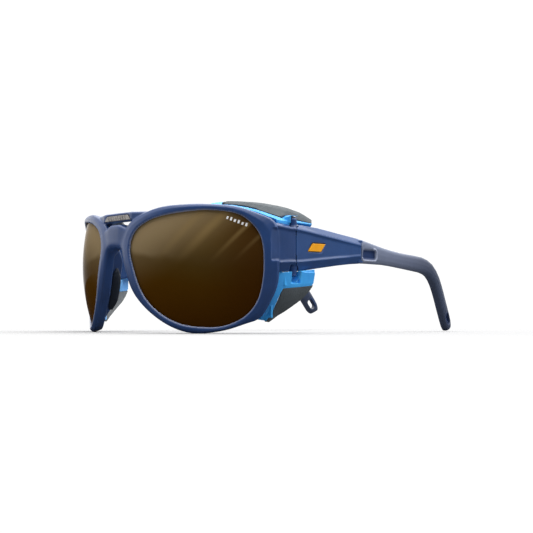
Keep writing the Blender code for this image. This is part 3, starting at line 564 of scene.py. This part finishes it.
def lens_material(side, label):
    made, tree, shader = node_material("brown_glass_" + label)
    tree.links.new(glass_colour(tree, side), shader.inputs["Base Color"])
    tree.links.new(mapped(tree, noise(tree, GLOSSINESS), *GLASS_ROUGHNESS), shader.inputs["Roughness"])
    wave = bumped(tree, noise(tree, *WAVINESS), GLASS_WAVE * MM)
    tree.links.new(wave, shader.inputs["Normal"])
    shader.inputs["IOR"].default_value = GLASS_IOR
    shader.inputs["Specular IOR Level"].default_value = GLASS_SPECULAR
    return made


def lens_marks(side, label):
    """A row of thin slanted bars on the glass."""
    points, faces = [], []
    for i in range(MARK_COUNT):
        share = i / (MARK_COUNT - 1)
        u0, v0 = (a + (b - a) * share for a, b in zip(MARK_FROM, MARK_TO))
        tall = MARK_HEIGHTS[i % 2]
        outline = ((0, 0), (MARK_WIDTH, -MARK_FALL),
                   (MARK_WIDTH + MARK_SLANT, tall - MARK_FALL), (MARK_SLANT, tall))
        rings = [[lens_point(side, u0 + a, v0 + b, n) for a, b in outline] for n in MARK_FACES]
        more, sides = loft(rings)
        faces += [[k + len(points) for k in face] for face in sides]
        points += more
    made = new_object("lens_marks_" + label, mesh_from("lens_marks_" + label, points, faces))
    made.data.shade_flat()
    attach(made, "front")
    made.data.materials.append(WHITE)


for label, side in SIDES:
    glass = new_object("lens_glass_" + label, lens_mesh(side, label))
    finish_piece(glass, "front", "brown_lens", lens_material(side, label), "lens_" + label)
    lens_marks(side, label)


# ---------------------------------------------------------------- front

# Voxel size and passes of smoothing
FRONT_SKIN = (0.3, 2)
# The web between the lenses is eased into one soft sweep: half width, z from, fade, passes
EASED_WEB = (9.0, 1.0, 3.0, 70)
# What backs the thin skin of each end-piece over the temple's knuckle
SKIN_BACKING = ((65.2, 27.5, 3.0), (65.5, 30.6, 15.0))
# The painted highlight along the thin front edge round each lens opening: where its middle is, its
# width and strength
EDGE_PLACE, EDGE_WIDTH, EDGE_HIGHLIGHT_SHARE = 0.1, 0.32, 0.75
# What counts as being near a lens: its greatest reach, and heights over the glass
NEAR_REACH, NEAR_HEIGHTS = 36.0, (0.05, 4.0)
# How many sectors an opening is measured in
OPENING_SECTORS = 180


def rim_edge_highlight(spots):
    """Marks the front edge of each lens opening with a painted highlight, as minus its share of the
    highlight colour.
    """
    share = np.zeros(len(spots))
    for _, side in SIDES:
        across, up, forward = (np.array(axis) for axis in lens_axes(side))
        away = (spots - np.array(lens_centre(side))) / MM
        u, v = away @ across, away @ up
        reach = np.hypot(u, v)
        height = away @ forward + reach ** 2 / (2 * LENS_RADIUS)
        turn = np.arctan2(v, u) / (2 * math.pi) * OPENING_SECTORS
        sector = np.round(turn).astype(int) % OPENING_SECTORS
        near = (reach < NEAR_REACH) & (height > NEAR_HEIGHTS[0]) & (height < NEAR_HEIGHTS[1])
        inner = np.full(OPENING_SECTORS, np.inf)
        np.minimum.at(inner, sector[near], reach[near])
        edge = np.exp(-((reach - inner[sector] - EDGE_PLACE) / EDGE_WIDTH) ** 2)
        share = np.maximum(share, np.where(near, edge, 0.0))
    return -EDGE_HIGHLIGHT_SHARE * share


front = moulded("frame_front", "front_moulding", *FRONT_SKIN,
                [block(side, *SKIN_BACKING) for _, side in SIDES],
                eased=EASED_WEB, shade=rim_edge_highlight)
finish_piece(front, "front", "navy_frame", NAVY, "frame_front")


# ---------------------------------------------------------------- temples

ARM_SKIN, TIP_SKIN, BADGE_SKIN = (0.2, 3), (0.25, 6), (0.1, 3)
# The plug in the seam between arm and tip: how far it runs each way, and how far in it stays
SEAM_REACH, SEAM_INSET = 1.2, 0.5
# The pocket let into the front of each tip, in y and z: middle, half size, corner, and slope
POCKET_MIDDLE, POCKET_HALF, POCKET_CORNER = (74.4, 7.05), (4.4, 1.95), 1.0
POCKET_DEPTH, POCKET_SLOPE = 0.55, 0.6
# How far the painted shade of the pocket runs out over its slope, as a share
POCKET_SHADE_SPILL = 0.3
# What counts as being near the pocket: the middle and half size of a box in y and z
POCKET_ZONE = ((74.4, 7.0), (8.0, 4.0))
# The raised lip round its lower rear: place, width, height, and the y and z where it ends
LIP_PLACE, LIP_HALF, LIP_HEIGHT = 0.45, 0.4, 0.42
LIP_REAR, LIP_LOW = 77.0, 5.8
# The lip's share of the painted highlight colour, and the least that shows
LIP_HIGHLIGHT_SHARE, LIP_HIGHLIGHT_LEAST = 0.8, 0.2
# The cord hole: y and z of its ends, how far its painted shade reaches, its fade and its share
HOLE_ENDS = ((138.4, -17.85), (139.6, -19.95))
HOLE_SHADE_REACH, HOLE_SHADE_FADE, HOLE_SHADE_SHARE = 1.75, 0.25, 0.7
# The right tip's end is bent up by this much
RIGHT_TIP_RISE = 8.0


def seam_core(side, label):
    """A plug hidden between an arm and its tip, so that nothing shows through their seam."""
    rows = local(side, points_of(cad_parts["temple_arm_" + label].data))
    middle = rows[:, 1].max()
    end = rows[rows[:, 1] > middle - SEAM_REACH]
    low, high = end.min(0) + SEAM_INSET, end.max(0) - SEAM_INSET
    return block(side, (low[0], middle - SEAM_REACH, low[2]), (high[0], middle + SEAM_REACH, high[2]))


def pocket_edge(rows):
    """Distance from the pocket's rounded outline, negative inside it."""
    far = [np.abs(rows[:, k + 1] - POCKET_MIDDLE[k]) - POCKET_HALF[k] + POCKET_CORNER
           for k in (0, 1)]
    outside = np.hypot(np.clip(far[0], 0, None), np.clip(far[1], 0, None))
    return outside + np.minimum(np.maximum(*far), 0) - POCKET_CORNER


def lip_share(rows):
    lip = np.exp(-((pocket_edge(rows) - LIP_PLACE) / LIP_HALF) ** 2)
    return np.where((rows[:, 2] < LIP_LOW) | (rows[:, 1] > LIP_REAR), lip, 0.0)


def tip_outer(rows):
    """Which points lie round the pocket on a tip's outer face."""
    (y, z), (half_y, half_z) = POCKET_ZONE
    near = (np.abs(rows[:, 1] - y) < half_y) & (np.abs(rows[:, 2] - z) < half_z)
    middle = (rows[near, 0].min() + rows[near, 0].max()) / 2
    return near & (rows[:, 0] > middle)


def hole_distance(rows, rise):
    """Distance from the middle line of the cord hole, seen from the side."""
    start, end = (np.array((y, z + rise)) for y, z in HOLE_ENDS)
    run = end - start
    share = np.clip((rows[:, 1:] - start) @ run / (run @ run), 0, 1)
    return np.hypot(*(rows[:, 1:] - start - share[:, None] * run).T)


def tip_carver(side):
    """Deepens the pocket in a tip and raises its lip."""
    def carve(spots):
        rows = local(side, spots)
        depth = np.clip(-pocket_edge(rows) / POCKET_SLOPE, 0, 1) * POCKET_DEPTH
        rows[:, 0] += np.where(tip_outer(rows), lip_share(rows) * LIP_HEIGHT - depth, 0.0)
        return placed(side, rows)
    return carve


def tip_shade_and_highlight(side):
    """Marks a tip's pocket and cord hole with positive shares of painted shade, and its lip with
    negative shares of painted highlight.
    """
    def shade(spots):
        rows = local(side, spots)
        outer = tip_outer(rows)
        pocket = np.clip(POCKET_SHADE_SPILL - pocket_edge(rows) / POCKET_SLOPE, 0, 1)
        away = hole_distance(rows, RIGHT_TIP_RISE if side < 0 else 0.0)
        hole = np.clip((HOLE_SHADE_REACH - away) / HOLE_SHADE_FADE, 0, 1) * HOLE_SHADE_SHARE
        lip = np.where(outer, lip_share(rows) * LIP_HIGHLIGHT_SHARE, 0.0)
        return np.where(lip > LIP_HIGHLIGHT_LEAST, -lip, np.maximum(np.where(outer, pocket, 0.0), hole))
    return shade


def add_temple(label, side):
    arm = moulded("temple_arm_" + label, "arm_moulding_" + label, *ARM_SKIN,
                  [seam_core(side, label)])
    finish_piece(arm, "temple_" + label, "navy_temple", TEMPLE_NAVY_PAINTED_LIGHTER, "temple_arm_" + label)
    tip = moulded("temple_tip_" + label, "tip_moulding_" + label, *TIP_SKIN,
                  sculpt=tip_carver(side), shade=tip_shade_and_highlight(side))
    finish_piece(tip, "temple_" + label, "tip_rubber", TIP, "temple_tip_" + label)
    badge = moulded("temple_badge_" + label, "badge_bar_" + label, *BADGE_SKIN)
    finish_piece(badge, "temple_" + label, "orange_badge", ORANGE, "temple_badge_" + label)


# ---------------------------------------------------------------- side shields

SHIELD_SKIN, FLAP_SKIN = (0.14, 4), (0.24, 4)
# Boxes that back the lower boss under the peg, and the thin strip beside the lower panel
GROOVE_FILL = ((62.0, 28.7, -6.1), (64.2, 33.1, -2.95))
STRIP_FILL = ((58.7, 22.75, -18.6), (60.3, 23.6, -14.0))
# Fillets that close what can be seen through: under the upper strip, and over the lower band.
# Each is two rings along y: y, x from and to, z from and to
STRIP_FILLET = ((23.4, 62.5, 63.6, 17.4, 18.7), (29.1, 62.6, 63.9, 16.9, 18.5))
BAND_FILLET = ((32.0, 65.0, 66.4, -1.7, -0.72), (39.9, 64.8, 66.1, -1.7, 0.05))
# The groove in the lower boss: a round-ended hollow, and the x and z that it is carved in
GROOVE_RADIUS, GROOVE_LOW, GROOVE_FACE, GROOVE_DEPTH = 1.95, -3.3, 64.2, 1.5
GROOVE_FROM_X, GROOVE_HEIGHTS = 62.3, (-6.2, -1.0)
# How high the upper boss stands in front of the peg, y and z, and the x and z of that boss
BOSS_CREST = ((25.5, 19.4), (27.0, 19.5), (28.6, 20.4), (29.2, 21.0))
BOSS_FROM_X, BOSS_FROM_Z = 61.2, 19.0
# The lower panel grows by this share and moves inward by this much, to close the gap round it
LOWER_GROWTH, LOWER_INWARD = 1.1, 0.12
# The soft upper panel near the peg. Columns: front x, y, z, then crest x, y, z
PANEL_COLUMNS = (
    (56.2, 18.2, 22.0, 55.3, 24.4, 24.9), (63.4, 24.3, 18.5, 59.9, 30.6, 22.9),
    (63.8, 33.0, 18.0, 61.3, 36.5, 21.2),
)
# Where its lower edge lies between front and crest: place along the columns, and share
PANEL_STARTS = ((0.0, 0.30), (0.9, 0.31), (1.15, 0.56), (1.75, 0.58), (2.0, 0.34))
PANEL_END, PANEL_THICKNESS, PANEL_ALONG = 0.97, 1.1, Vector((0.35, 0.93, 0.0))
PANEL_RINGS, PANEL_ROWS = 25, 5


def shield_carver(side):
    """Carves the round groove under the peg, and lowers the upper boss in front of it."""
    def carve(spots):
        rows = local(side, spots)
        x, y, z = rows.T
        away = np.hypot(y - HINGE_Y, np.minimum(z - GROOVE_LOW, 0))
        hollow = np.sqrt(np.clip(1 - (away / GROOVE_RADIUS) ** 2, 0, None)) * GROOVE_DEPTH
        groove = (x > GROOVE_FROM_X) & (z > GROOVE_HEIGHTS[0]) & (z < GROOVE_HEIGHTS[1])
        rows[:, 0] = np.where(groove & (hollow > 0), np.minimum(x, GROOVE_FACE - hollow), x)
        crest = np.interp(y, *zip(*BOSS_CREST))
        boss = (rows[:, 0] > BOSS_FROM_X) & (z > BOSS_FROM_Z)
        boss &= (y > BOSS_CREST[0][0]) & (y < BOSS_CREST[-1][0])
        rows[:, 2] = np.where(boss, np.minimum(z, crest), z)
        return placed(side, rows)
    return carve


def grown(side, node):
    """A packed sheet stretched in its own plane and moved inward."""
    shape = welded(node)
    spots = np.array([corner.co for corner in shape.verts])
    faces = [[corner.index for corner in face.verts] for face in shape.faces]
    shape.free()
    middle = spots.mean(0)
    flat = np.c_[spots[:, 1:] - middle[1:], np.ones(len(spots))]
    slope = np.linalg.lstsq(flat, spots[:, 0], rcond=None)[0][:2]
    moved = spots.copy()
    moved[:, 1:] = middle[1:] + (spots[:, 1:] - middle[1:]) * LOWER_GROWTH
    moved[:, 0] += (moved[:, 1:] - spots[:, 1:]) @ slope - side * LOWER_INWARD * MM
    return [Vector(p) for p in moved], faces


def panel_patch(side):
    """The soft upper panel carried on over the boss, down to the peg."""
    columns = np.array(PANEL_COLUMNS)
    rings = []
    for t in np.linspace(0.0, len(columns) - 1, PANEL_RINGS):
        row = [np.interp(t, range(len(columns)), column) for column in columns.T]
        front, crest = Vector(row[:3]), Vector(row[3:])
        low = float(np.interp(t, *zip(*PANEL_STARTS)))
        inward = (crest - front).cross(PANEL_ALONG).normalized()
        inward *= PANEL_THICKNESS * (-1 if inward.z > 0 else 1)
        line = [front.lerp(crest, low + (PANEL_END - low) * k / (PANEL_ROWS - 1))
                for k in range(PANEL_ROWS)]
        line += [p + inward for p in reversed(line)]
        rings.append([at(side * p.x, p.y, p.z) for p in line])
    return loft(rings)


def add_shield(label, side):
    carrier = moulded("shield_frame_" + label, "shield_moulding_" + label, *SHIELD_SKIN,
                      [block(side, *GROOVE_FILL), block(side, *STRIP_FILL),
                       fillet(side, STRIP_FILLET), fillet(side, BAND_FILLET)],
                      sculpt=shield_carver(side))
    finish_piece(carrier, "shield_" + label, "blue_shield", BLUE, "shield_frame_" + label)


def add_flaps(label, side):
    body = "shield_" + label
    upper, lower = "shield_panel_upper_" + label, "shield_panel_lower_" + label
    flap = moulded(upper, "flap_upper_" + label, *FLAP_SKIN, [panel_patch(side)])
    finish_piece(flap, body, "charcoal_panel", CHARCOAL, upper)
    flap = moulded(lower, "flap_lower_" + label, *FLAP_SKIN, [grown(side, lower)])
    finish_piece(flap, body, "charcoal_panel", CHARCOAL, lower)


# ---------------------------------------------------------------- pads, screws and plate

PAD_SKIN, SCREW_SKIN, PLATE_SKIN = (0.2, 6), (0.12, 2), (0.1, 2)
# The ribs on the bridge plate: pitch, height, slant, and how flat their tops are
RIB_PITCH, RIB_HEIGHT, RIB_SLANT, RIB_CLIP = 1.7, 0.16, 0.4, 2.0
# They lie within this half width, in front of this y
RIB_HALF_WIDTH, RIB_FACE = 6.4, -7.8


def ribs(spots):
    """Raises slanted ribs on the front of the bridge plate."""
    rows = local(1, spots)
    shown = (np.abs(rows[:, 0]) < RIB_HALF_WIDTH) & (rows[:, 1] < RIB_FACE)
    turn = 2 * np.pi * (rows[:, 0] + RIB_SLANT * rows[:, 2]) / RIB_PITCH
    wave = np.clip(np.sin(turn) * RIB_CLIP, -1, 1)
    rows[:, 1] -= np.where(shown, wave * RIB_HEIGHT, 0.0)
    return placed(1, rows)


def add_pad(label):
    pad = moulded("nose_pad_" + label, "pad_moulding_" + label, *PAD_SKIN)
    finish_piece(pad, "pad_" + label, "pad_rubber", PAD, "nose_pad_" + label)


def add_screw(label):
    screw = moulded("hinge_screw_" + label, "screw_" + label, *SCREW_SKIN)
    finish_piece(screw, "front", "steel", STEEL, "hinge_screw_" + label)


for label, side in SIDES:
    add_temple(label, side)
    add_pad(label)
    add_shield(label, side)
    add_screw(label)
    add_flaps(label, side)
plate = moulded("bridge_plate", "bridge_plate_bar", *PLATE_SKIN, sculpt=ribs)
finish_piece(plate, "front", "bridge_metal", PLATE, "bridge_plate")

# The nodes that nothing stands for, the pads' wires and the tips' cores, are steel
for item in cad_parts.values():
    if not item.hide_render:
        item.data.materials.clear()
        item.data.materials.append(STEEL)


# ---------------------------------------------------------------- studio

# Soft boxes painted into the world: direction, cosines of their outer and inner edge, strength
SOFT_BOXES = (
    ((0.0, 0.1, 0.995), 0.35, 0.95, 3.4),
    ((-0.76, -0.63, 0.15), 0.82, 0.98, 1.6),
    ((0.60, 0.62, 0.50), 0.86, 0.99, 1.6),
)
# Seen only in reflections: the bright backdrop behind the object
RIM_BOX = ((-0.77, 0.638, 0.1), 0.35, 0.95, 1.5)
AMBIENT = 0.06
BACKDROP = 1.05
# The floor: radius and drop in metres, and its paint as seen, and as it lights and is reflected
FLOOR_RADIUS, FLOOR_DROP = 6.0, 0.00005
FLOOR_SEEN = ((0.455, 0.455, 0.459), (0.485, 0.485, 0.485))
FLOOR_LIGHTS, FLOOR_REFLECTED = (0.26, 0.26, 0.26), (0.05, 0.05, 0.05)
FLOOR_NOISE, FLOOR_ROUGHNESS, FLOOR_SIDES = (3.0, 3.0), 0.9, 96
# Distances in metres over which the floor fades into the backdrop
FLOOR_FADE = (0.13, 0.24)


def lobe(tree, direction, facing, outer, inner, strength):
    """A soft patch of light in the world round a direction."""
    return faded(tree, dot(tree, direction, facing), outer, inner, strength)


def light_world():
    """Soft boxes for light, and a plain bright backdrop for the camera."""
    world = bpy.data.worlds.new("studio")
    bpy.context.scene.world = world
    world.use_nodes = True
    tree = world.node_tree
    facing = tree.nodes.new("ShaderNodeTexCoord").outputs["Generated"]
    light = added(tree, [lobe(tree, facing, *soft_box) for soft_box in SOFT_BOXES] + [AMBIENT])
    path = tree.nodes.new("ShaderNodeLightPath")
    rim = multiplied(tree, lobe(tree, facing, *RIM_BOX), path.outputs["Is Glossy Ray"])
    choice = tree.nodes.new("ShaderNodeMix")
    feed(tree, choice.inputs["Factor"], path.outputs["Is Camera Ray"])
    feed(tree, choice.inputs[NUMBER_A], added(tree, [light, rim]))
    feed(tree, choice.inputs[NUMBER_B], BACKDROP)
    backdrop = tree.nodes["Background"]
    backdrop.inputs["Color"].default_value = (1, 1, 1, 1)
    tree.links.new(choice.outputs[NUMBER_OUT], backdrop.inputs["Strength"])


def floor_paint():
    """Pale paint that fades into the backdrop away from the object."""
    paint, tree, shader = node_material("floor_paint")
    path = tree.nodes.new("ShaderNodeLightPath")
    seen = path.outputs["Is Camera Ray"]
    pale = mixed(tree, noise(tree, *FLOOR_NOISE), *FLOOR_SEEN)
    bounced = mixed(tree, path.outputs["Is Glossy Ray"], FLOOR_LIGHTS, FLOOR_REFLECTED)
    tree.links.new(mixed(tree, seen, bounced, pale), shader.inputs["Base Color"])
    shader.inputs["Roughness"].default_value = FLOOR_ROUGHNESS
    shader.inputs["Specular IOR Level"].default_value = 0.0
    reach = tree.nodes.new("ShaderNodeVectorMath")
    reach.operation = "LENGTH"
    tree.links.new(object_spot(tree), reach.inputs[0])
    far = faded(tree, reach.outputs["Value"], *FLOOR_FADE, 1.0)
    glow = tree.nodes.new("ShaderNodeEmission")
    glow.inputs["Strength"].default_value = BACKDROP
    blend = tree.nodes.new("ShaderNodeMixShader")
    tree.links.new(multiplied(tree, far, seen), blend.inputs["Fac"])
    tree.links.new(shader.outputs["BSDF"], blend.inputs[1])
    tree.links.new(glow.outputs["Emission"], blend.inputs[2])
    tree.links.new(blend.outputs["Shader"], tree.nodes["Material Output"].inputs["Surface"])
    return paint


def lay_floor():
    disc = bpy.data.meshes.new("floor")
    shape = bmesh.new()
    bmesh.ops.create_circle(shape, cap_ends=True, segments=FLOOR_SIDES, radius=FLOOR_RADIUS)
    shape.to_mesh(disc)
    shape.free()
    disc.materials.append(floor_paint())
    floor = new_object("floor", disc)
    floor.location.z = -FLOOR_DROP


bpy.context.scene.view_settings.view_transform = "Standard"
light_world()
lay_floor()


# ---------------------------------------------------------------- camera

AZIMUTH, ELEVATION = math.radians(50.33), math.radians(-2.467)
DISTANCE = 0.48943
AIM = at(36.73, 40.0, 2.20)
FOCAL_LENGTH, SENSOR_WIDTH, NEAREST = 81.53, 36.0, 0.01

lens = bpy.data.cameras.new("camera")
lens.lens = FOCAL_LENGTH
lens.sensor_width = SENSOR_WIDTH
lens.clip_start = NEAREST
camera = new_object("camera", lens)
back = Vector((math.sin(AZIMUTH) * math.cos(ELEVATION), -math.cos(AZIMUTH) * math.cos(ELEVATION),
               math.sin(ELEVATION)))
camera.location = AIM + back * DISTANCE
camera.rotation_mode = "QUATERNION"
camera.rotation_quaternion = back.to_track_quat("Z", "Y")
bpy.context.scene.camera = camera
